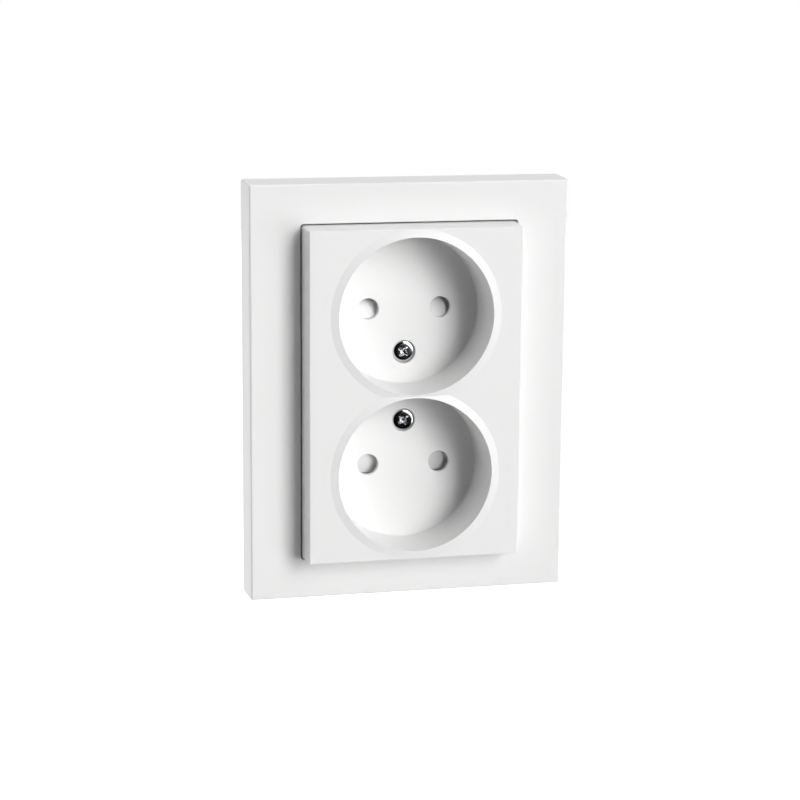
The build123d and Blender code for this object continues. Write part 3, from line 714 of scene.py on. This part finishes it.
def cross_outline(y, scale):
    """The outline of a cross with a square core, at one depth: x, y and z in metres."""
    arm, slot, core = CROSS_SPAN / 2 * scale, CROSS_SLOT / 2 * scale, CROSS_CORE / 2 * scale
    quarter = [(arm, -slot), (arm, slot), (core, slot), (core, core), (slot, core)]
    return [((a * cos - b * sin) * MM, y * MM, (a * sin + b * cos) * MM)
            for cos, sin in QUARTER_TURNS for a, b in quarter]


def recess_cutter():
    """A tapered cross from above the crown to its full depth, closed by a point."""
    build = bmesh.new()
    slope = (1 - CROSS_SHRINK) / CROSS_DEPTH
    rings = []
    for depth in (-CROSS_ABOVE, CROSS_DEPTH):
        rings.append([build.verts.new(place) for place in cross_outline(HEAD_TOP + depth, 1 - slope * depth)])
    build.faces.new(rings[0])
    point = build.verts.new((0, (HEAD_TOP + CROSS_POINT) * MM, 0))
    for step in range(len(rings[0])):
        after = (step + 1) % len(rings[0])
        build.faces.new((rings[0][step], rings[0][after], rings[1][after], rings[1][step]))
        build.faces.new((rings[1][step], rings[1][after], point))
    bmesh.ops.recalc_face_normals(build, faces=build.faces)
    mesh = bpy.data.meshes.new("recess_cutter")
    build.to_mesh(mesh)
    build.free()
    return add_object("recess_cutter", mesh)


print("recess across in mm:", CROSS_SPAN, "depth:", CROSS_POINT)

# %% The punched blank
RECESS_BEVEL = 0.035
RECESS_BEVEL_STEPS = 3
RECESS_BEVEL_ANGLE = math.radians(35)


def punched_blank():
    """The blank with its recess, as a plain mesh."""
    blank, cutter = add_object("punched_blank", screw_blank()), recess_cutter()
    cut = blank.modifiers.new("punch", "BOOLEAN")
    cut.object, cut.solver, cut.operation = cutter, "EXACT", "DIFFERENCE"
    bevel = blank.modifiers.new("edges", "BEVEL")
    bevel.width, bevel.segments = RECESS_BEVEL * MM, RECESS_BEVEL_STEPS
    bevel.limit_method, bevel.angle_limit = "ANGLE", RECESS_BEVEL_ANGLE
    mesh = take_mesh(blank)
    bpy.data.objects.remove(cutter)
    return mesh


# %% [markdown]
# The thread is one ridge wound round the core: a spiral with a three-sided profile. The tree then stands the
# finished screw in both holes, each turned as its recess is in the picture.

# %% The thread, and a screw in each hole
RIDGE_SIDES = 3


def screw_tree():
    """Winds the thread, joins it to the blank and stands the screw on each of two points."""
    tree, given, result = geometry_tree("cover_screw", [
        ("Finish", "Material"), ("Thread Radius", "Float"), ("Thread Rise", "Float"),
        ("Thread Turns", "Float"), ("Thread Steps", "Int"), ("Thread Start", "Float"), ("Ridge", "Float"),
        ("Hole", "Float"), ("Upper Turn", "Float"), ("Lower Turn", "Float")])
    spiral = add_node(tree, "GeometryNodeCurveSpiral", (given["Thread Steps"], "Resolution"),
                      (given["Thread Turns"], "Rotations"), (given["Thread Radius"], "Start Radius"),
                      (given["Thread Radius"], "End Radius"), (given["Thread Rise"], "Height"))
    upright = add_node(tree, "GeometryNodeSetCurveNormal", (spiral.outputs[0], 0), mode="Z_UP")
    profile = add_node(tree, "GeometryNodeCurvePrimitiveCircle", (given["Ridge"], "Radius"),
                       Resolution=RIDGE_SIDES)
    ridge = add_node(tree, "GeometryNodeCurveToMesh", (upright.outputs[0], 0), (profile.outputs[0], 1),
                     Fill_Caps=True)
    laid = add_node(tree, "GeometryNodeTransform", (ridge.outputs[0], 0),
                    (vector_of(tree, Y=given["Thread Start"]), "Translation"), Rotation=(-math.pi / 2, 0, 0))
    screw = join(tree, given["Geometry"], laid.outputs[0])
    stood = []
    for sign, turn in ((1, "Upper Turn"), (-1, "Lower Turn")):
        hole = vector_of(tree, Z=maths(tree, "MULTIPLY", given["Hole"], sign))
        turned = vector_of(tree, Y=given[turn])
        stood.append(add_node(tree, "GeometryNodeTransform", (screw, 0), (hole, "Translation"),
                              (turned, "Rotation")).outputs[0])
    finish_tree(tree, join(tree, *stood), given, result)
    return tree


# %% The screws
THREAD_PITCH = 0.5
THREAD_TURNS = 20
THREAD_STEPS = 28
THREAD_GAP = 0.4
UPPER_SCREW_TURN = math.radians(38)
LOWER_SCREW_TURN = math.radians(52)


def build_screws():
    """Both cover screws as one piece."""
    rise = THREAD_PITCH * THREAD_TURNS
    start = HEAD_SEAT + NECK + THREAD_GAP
    screws = grow("bright_cross_screws", screw_tree(), punched_blank(), Finish=finishes["screw_chrome"],
                  Thread_Radius=CORE_RADIUS * MM, Thread_Rise=rise * MM, Thread_Turns=float(THREAD_TURNS),
                  Thread_Steps=THREAD_STEPS, Thread_Start=start * MM,
                  Ridge=(SHANK_RADIUS - CORE_RADIUS) * MM, Hole=screw_up,
                  Upper_Turn=UPPER_SCREW_TURN, Lower_Turn=LOWER_SCREW_TURN)
    screws.data.shade_smooth()
    stand_for(screws, "cover_screws")


build_screws()

# %% [markdown]
# ## The shutter springs
#
# Each pair of shutters is pushed back over the pin holes by a small compression spring of drawn wire. A
# wound spring has closed ends: the first and the last turn lie against their neighbour, so that the spring
# stands square on its seat. The tree lays a line's points round a helix whose rise slows down at both ends,
# and gives it a round wire. A spring changes its form as it works.

# %% The tree of a wound spring
def coil_tree():
    """Wire wound round a line along Z, with closed ends."""
    tree, given, result = geometry_tree("closed_coil", [
        ("Finish", "Material"), ("Coil Radius", "Float"), ("Wire Radius", "Float"), ("Turns", "Float"),
        ("Steps", "Int"), ("Wire Sides", "Int"), ("Closed Ends", "Float")])
    line = add_node(tree, "GeometryNodeMeshToCurve", (given["Geometry"], 0)).outputs[0]
    steps = add_node(tree, "GeometryNodeResampleCurve", (line, 0), (given["Steps"], "Count"))
    share = tree.nodes.new("GeometryNodeSplineParameter").outputs["Factor"]
    angle = maths(tree, "MULTIPLY", maths(tree, "MULTIPLY", share, given["Turns"]), math.tau)
    slow = maths(tree, "SINE", maths(tree, "MULTIPLY", share, math.tau))
    back = maths(tree, "DIVIDE", maths(tree, "MULTIPLY", slow, given["Closed Ends"]), -math.tau)
    ends = [add_node(tree, "GeometryNodeSampleCurve", (line, "Curves"), Factor=end) for end in (0.0, 1.0)]
    for end in ends:
        end.use_all_curves = True
    reach = vector_maths(tree, "SUBTRACT", ends[1].outputs["Position"], ends[0].outputs["Position"])
    round_x = maths(tree, "MULTIPLY", maths(tree, "COSINE", angle), given["Coil Radius"])
    round_y = maths(tree, "MULTIPLY", maths(tree, "SINE", angle), given["Coil Radius"])
    wind = vector_of(tree, X=round_x, Y=round_y)
    offset = vector_maths(tree, "ADD", vector_maths(tree, "SCALE", reach, back), wind)
    wound = add_node(tree, "GeometryNodeSetPosition", (steps.outputs[0], 0), (offset, "Offset"))
    wire = add_node(tree, "GeometryNodeCurvePrimitiveCircle", (given["Wire Sides"], "Resolution"),
                    (given["Wire Radius"], "Radius"))
    drawn = add_node(tree, "GeometryNodeCurveToMesh", (wound.outputs[0], 0), (wire.outputs[0], 1),
                     Fill_Caps=True)
    finish_tree(tree, drawn.outputs[0], given, result)
    return tree


# %% Coil springs
COIL_RADIUS = 1.4
WIRE = 0.4
COIL_TURNS = 6
COIL_STEPS = 216
WIRE_SIDES = 12
CLOSED_ENDS = 0.86


def sampled_path(name, points):
    """A mesh of joined points in millimetres, as the path of a tree."""
    path = bpy.data.meshes.new(name)
    path.from_pydata([tuple(value * MM for value in point) for point in points],
                     [(step, step + 1) for step in range(len(points) - 1)], [])
    return path


def build_coils():
    """Both springs, each on the body of the socket."""
    tree = coil_tree()
    for side, label in ((1, "upper"), (-1, "lower")):
        low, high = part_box(f"{label}_shutter_spring")
        seat, bar = (low[2], high[2]) if side > 0 else (high[2], low[2])
        across, depth = (low[0] + high[0]) / 2 / MM, (low[1] + high[1]) / 2 / MM
        inset = side * WIRE / 2
        path = sampled_path(f"{label}_coil_line", [(across, depth, seat / MM + inset),
                                                   (across, depth, bar / MM - inset)])
        coil = grow(f"{label}_closed_coil", tree, path, Finish=finishes["spring_steel"],
                    Coil_Radius=COIL_RADIUS * MM, Wire_Radius=WIRE / 2 * MM, Turns=float(COIL_TURNS),
                    Steps=COIL_STEPS, Wire_Sides=WIRE_SIDES, Closed_Ends=CLOSED_ENDS)
        coil.data.shade_smooth()
        stand_for(coil, f"{label}_shutter_spring")
        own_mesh(coil)


build_coils()

# %% [markdown]
# ## The clamp springs
#
# Four strips of spring steel hold the wires. Each stands on a rib, bends over a crest and leans on the
# terminal plate. A strip is a path with a rectangle run along it, so the tree rounds the corners of a bent
# line and sweeps a blanked section with broken edges. The release button presses the crest back, and the
# strip gives toward its foot.

# %% The tree of a bent strip
STRIP_EDGE_STEPS = 2


def strip_tree():
    """A strip with rounded bends along a bent line."""
    tree, given, result = geometry_tree("bent_strip", [
        ("Finish", "Material"), ("Thickness", "Float"), ("Width", "Float"), ("Bend", "Float"),
        ("Bend Steps", "Int"), ("Edge", "Float")])
    line = add_node(tree, "GeometryNodeMeshToCurve", (given["Geometry"], 0))
    bent = add_node(tree, "GeometryNodeFilletCurve", (line.outputs[0], 0), (given["Bend"], "Radius"),
                    (given["Bend Steps"], "Count"), mode="POLY")
    blank = add_node(tree, "GeometryNodeCurvePrimitiveQuadrilateral", (given["Thickness"], "Width"),
                     (given["Width"], "Height"))
    section = add_node(tree, "GeometryNodeFilletCurve", (blank.outputs[0], 0), (given["Edge"], "Radius"),
                       mode="POLY", Count=STRIP_EDGE_STEPS)
    upright = add_node(tree, "GeometryNodeSetCurveNormal", (bent.outputs[0], 0), mode="Z_UP")
    strip = add_node(tree, "GeometryNodeCurveToMesh", (upright.outputs[0], 0), (section.outputs[0], 1),
                     Fill_Caps=True)
    finish_tree(tree, strip.outputs[0], given, result)
    return tree


# %% Bent strips
STRIP_THICKNESS = 0.4
STRIP_WIDTH = 4.4
STRIP_BEND = 0.85
STRIP_BEND_STEPS = 10
STRIP_EDGE = 0.08
STRIP_SHARP_DEGREES = 40
CLAMP_FOOT = (23.2, 11.6)
CLAMP_CORNER = (23.2, 20.9)
CLAMP_CREST = (21.2, 20.9)
CLAMP_TIP = (14.6, 13.2)


def smooth_by_angle(piece, degrees):
    """Smooth shading with sharp edges kept where two faces meet at more than an angle."""
    piece.data.shade_smooth()
    piece.data.set_sharp_from_angle(angle=math.radians(degrees))


def build_clamp(tree, side, pole, row):
    """The strip of one wire, in place of its solid of the frame."""
    solid = f"{pole}_{row}_clamp_spring"
    low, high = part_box(solid)
    level = (low[2] + high[2]) / 2 / MM
    corners = (CLAMP_FOOT, CLAMP_CORNER, CLAMP_CREST, CLAMP_TIP)
    path = sampled_path(f"{solid}_line", [(side * x, y, level) for x, y in corners])
    strip = grow(f"{pole}_{row}_bent_strip", tree, path, Finish=finishes["spring_steel"],
                 Thickness=STRIP_THICKNESS * MM, Width=STRIP_WIDTH * MM, Bend=STRIP_BEND * MM,
                 Bend_Steps=STRIP_BEND_STEPS, Edge=STRIP_EDGE * MM)
    smooth_by_angle(strip, STRIP_SHARP_DEGREES)
    stand_for(strip, solid)
    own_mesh(strip)


def build_clamps():
    """A strip for each of the four wires."""
    tree = strip_tree()
    for side, pole in ((-1, "live"), (1, "neutral")):
        for row in ("upper", "lower"):
            build_clamp(tree, side, pole, row)


build_clamps()

# %% [markdown]
# ## The rivets
#
# Four tubular rivets hold the support frame, the inner cover and the housing together. Each has a low domed
# head at the front, and at the back its hollow end is rolled outward into a lip. Such a rivet is round, so it
# comes off the lathe, and the tree stands it on the four corners of a grid.

# %% One rivet
RIVET_SHANK = 1.25
RIVET_BORE = 0.7
RIVET_BORE_DEPTH = 4.0
RIVET_FLARE = 0.8
RIVET_HEAD = 0.5
RIVET_STEPS = 48
RIVET_SHARP_DEGREES = 50
# Each point is a share of the head's radius, and a depth from the end of the rivet.
RIVET_DOME = ((0, 0), (0.66, 0.03), (0.85, 0.1), (0.96, 0.22), (1, 0.38), (1, RIVET_HEAD))
RIVET_LIP = ((1, RIVET_HEAD), (1, 0.36), (0.95, 0.17), (0.84, 0.04), (0.7, 0), (0.56, 0.05), (0.43, 0.22),
             (0.36, 0.5))


def rivet_blank():
    """Dome, shank, rolled lip and bore as one turned profile."""
    front, back, radius = rivet_low[1] / MM, rivet_high[1] / MM, RIVET_HEAD_RADIUS / MM
    dome = [(share * radius, front + depth) for share, depth in RIVET_DOME]
    shank = [(RIVET_SHANK, front + RIVET_HEAD), (RIVET_SHANK, back - RIVET_HEAD)]
    lip = [(share * radius, back - depth) for share, depth in RIVET_LIP]
    bore = [(RIVET_BORE, back - RIVET_FLARE), (RIVET_BORE, back - RIVET_BORE_DEPTH),
            (0, back - RIVET_BORE_DEPTH)]
    return lathe("rivet_blank", dome + shank + lip + bore, RIVET_STEPS)


# %% Four rivets
def rivet_tree():
    """Stands the rivet on the corners of a rectangle across the wall."""
    tree, given, result = geometry_tree("four_rivets", [
        ("Finish", "Material"), ("Across", "Float"), ("Up", "Float")])
    grid = add_node(tree, "GeometryNodeMeshGrid", (maths(tree, "MULTIPLY", given["Across"], 2.0), "Size X"),
                    (maths(tree, "MULTIPLY", given["Up"], 2.0), "Size Y"), Vertices_X=2, Vertices_Y=2)
    upright = add_node(tree, "GeometryNodeTransform", (grid.outputs[0], 0), Rotation=(math.pi / 2, 0, 0))
    stood = add_node(tree, "GeometryNodeInstanceOnPoints", (upright.outputs[0], "Points"),
                     (given["Geometry"], "Instance"))
    finish_tree(tree, stood.outputs[0], given, result)
    return tree


def build_rivets():
    """All four rivets as one piece."""
    rivets = grow("rolled_rivets", rivet_tree(), rivet_blank(), Finish=finishes["rivet_steel"],
                  Across=rivet_across, Up=rivet_up)
    smooth_by_angle(rivets, RIVET_SHARP_DEGREES)
    stand_for(rivets, "rivets")


build_rivets()

# %% [markdown]
# ## The threaded inserts
#
# Two brass inserts take the cover screws. A knurl keeps such an insert from turning in its plastic tower, and
# a plain neck divides it into two bands. The blank comes off the lathe. The tree then presses in the knurl,
# as a wave that moves the outermost points toward the axis, and stands the insert in both holes.

# %% The turned insert
KNURLS = 24
KNURL_DEPTH = 0.16
INSERT_STEPS = 4 * KNURLS
INSERT_BORE = 1.5
INSERT_LEAD = 0.2
INSERT_CHAMFER = 0.3
NECK_BELOW_KNURL = 0.1
NECK_HALF = 0.6
NECK_SLOPE = 0.2
INSERT_SHARP_DEGREES = 30

insert_low, insert_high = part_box("threaded_inserts")
insert_outside = (insert_high[0] - insert_low[0]) / 2 / MM


def insert_blank():
    """Two bands with a neck between them, round a bore that is countersunk at both ends."""
    front, back, outside = insert_low[1] / MM, insert_high[1] / MM, insert_outside
    neck, middle = outside - KNURL_DEPTH - NECK_BELOW_KNURL, (front + back) / 2
    lead = INSERT_BORE + INSERT_LEAD
    profile = [(lead, front), (neck, front), (outside, front + INSERT_CHAMFER),
               (outside, middle - NECK_HALF - NECK_SLOPE), (neck, middle - NECK_HALF),
               (neck, middle + NECK_HALF), (outside, middle + NECK_HALF + NECK_SLOPE),
               (outside, back - INSERT_CHAMFER), (neck, back), (lead, back),
               (INSERT_BORE, back - INSERT_LEAD), (INSERT_BORE, front + INSERT_LEAD), (lead, front)]
    return lathe("insert_blank", profile, INSERT_STEPS)


print("insert across in mm:", round(2 * insert_outside, 2))


# %% The tree of the knurl
def insert_tree():
    """Presses a knurl into the widest rings of the blank, and stands it in both screw holes."""
    tree, given, result = geometry_tree("knurled_inserts", [
        ("Finish", "Material"), ("Knurls", "Int"), ("Depth", "Float"), ("Outside", "Float"),
        ("Hole", "Float")])
    place = add_node(tree, "GeometryNodeInputPosition").outputs[0]
    x, _, z = add_node(tree, "ShaderNodeSeparateXYZ", (place, 0)).outputs
    square = maths(tree, "ADD", maths(tree, "MULTIPLY", x, x), maths(tree, "MULTIPLY", z, z))
    wave = maths(tree, "SINE", maths(tree, "MULTIPLY", maths(tree, "ARCTAN2", z, x), given["Knurls"]))
    inward = maths(tree, "MULTIPLY", maths(tree, "SUBTRACT", wave, 1.0), 0.5)
    share = maths(tree, "DIVIDE", maths(tree, "MULTIPLY", inward, given["Depth"]), given["Outside"])
    move = vector_of(tree, X=maths(tree, "MULTIPLY", x, share), Z=maths(tree, "MULTIPLY", z, share))
    bottom = maths(tree, "SUBTRACT", given["Outside"], given["Depth"])
    band = maths(tree, "GREATER_THAN", maths(tree, "SQRT", square), bottom)
    pressed = add_node(tree, "GeometryNodeSetPosition", (given["Geometry"], 0), (band, "Selection"),
                       (move, "Offset"))
    below, above = (vector_of(tree, Z=maths(tree, "MULTIPLY", given["Hole"], sign)) for sign in (-1, 1))
    line = add_node(tree, "GeometryNodeMeshLine", (below, "Start Location"), (above, "Offset"),
                    mode="END_POINTS", Count=2)
    stood = add_node(tree, "GeometryNodeInstanceOnPoints", (line.outputs[0], "Points"),
                     (pressed.outputs[0], "Instance"))
    finish_tree(tree, stood.outputs[0], given, result)
    return tree


# %% Both inserts
def build_inserts():
    """Both inserts as one piece."""
    inserts = grow("knurled_inserts", insert_tree(), insert_blank(), Finish=finishes["contact_brass"],
                   Knurls=KNURLS, Depth=KNURL_DEPTH * MM, Outside=insert_outside * MM, Hole=screw_up)
    smooth_by_angle(inserts, INSERT_SHARP_DEGREES)
    stand_for(inserts, "threaded_inserts")


build_inserts()
